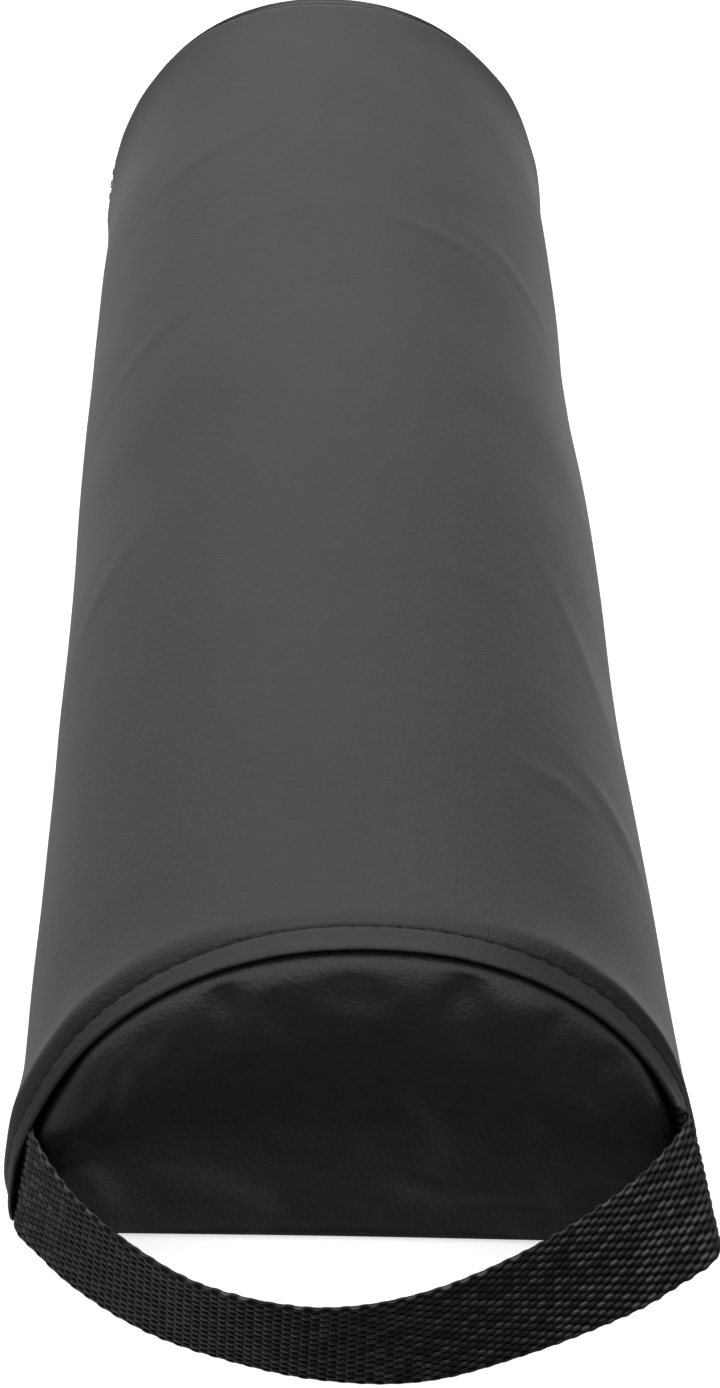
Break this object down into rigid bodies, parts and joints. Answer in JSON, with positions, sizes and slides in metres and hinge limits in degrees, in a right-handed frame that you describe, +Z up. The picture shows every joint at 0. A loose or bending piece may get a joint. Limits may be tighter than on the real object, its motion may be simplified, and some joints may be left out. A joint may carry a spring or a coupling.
{
  "type": "half-round bolster",
  "caption": "Half-round padded bolster with a flat base, a domed top, a carry strap sewn into one end and a zip let into the base.",
  "frame": {"origin": "middle of the flat base, on the mount base", "axes": "+Z up, away from the base; Y along the length, with the carry strap at the -Y end; +X to the right seen from the strap end"},
  "size_m": [0.2072, 0.7246, 0.116],
  "materials": {
    "leathercloth": "satin, fine grain",
    "webbing": "plain woven polypropylene",
    "thread": "bonded polyester",
    "foam": "open-cell foam",
    "zip_tape": "knitted tape",
    "zip_coil": "moulded coil",
    "zip_metal": "gunmetal enamel"
  },
  "bodies": {
    "root": {"foam_core": "foam", "wrap_cover": "leathercloth", "front_end_panel": "leathercloth", "rear_end_panel": "leathercloth", "front_topstitch": "thread", "rear_topstitch": "thread", "handle_tail_left": "webbing", "handle_tail_right": "webbing", "zip_tape_left": "zip_tape", "zip_tape_right": "zip_tape", "zip_coil_left": "zip_coil", "zip_coil_right": "zip_coil", "zip_stitch_left": "thread", "zip_stitch_right": "thread", "zip_stop_front": "zip_metal", "zip_stop_rear": "zip_metal"},
    "handle": {"handle_strap": "webbing"},
    "slider": {"zip_slider": "zip_metal"},
    "pull": {"zip_pull_tab": "zip_metal"}
  },
  "joints": [
    {"name": "handle_swing", "type": "hinge", "parent": "root", "child": "handle", "pos_m": [0, -0.364, 0.022], "axis": [-1, 0, 0], "range_deg": [0, 60]},
    {"name": "zip_slide", "type": "slide", "parent": "root", "child": "slider", "axis": [0, 1, 0], "range_m": [0, 0.532]},
    {"name": "pull_flip", "type": "hinge", "parent": "slider", "child": "pull", "pos_m": [0.048, -0.2648, 0.0013], "axis": [-1, 0, 0], "range_deg": [0, 180]}
  ]
}
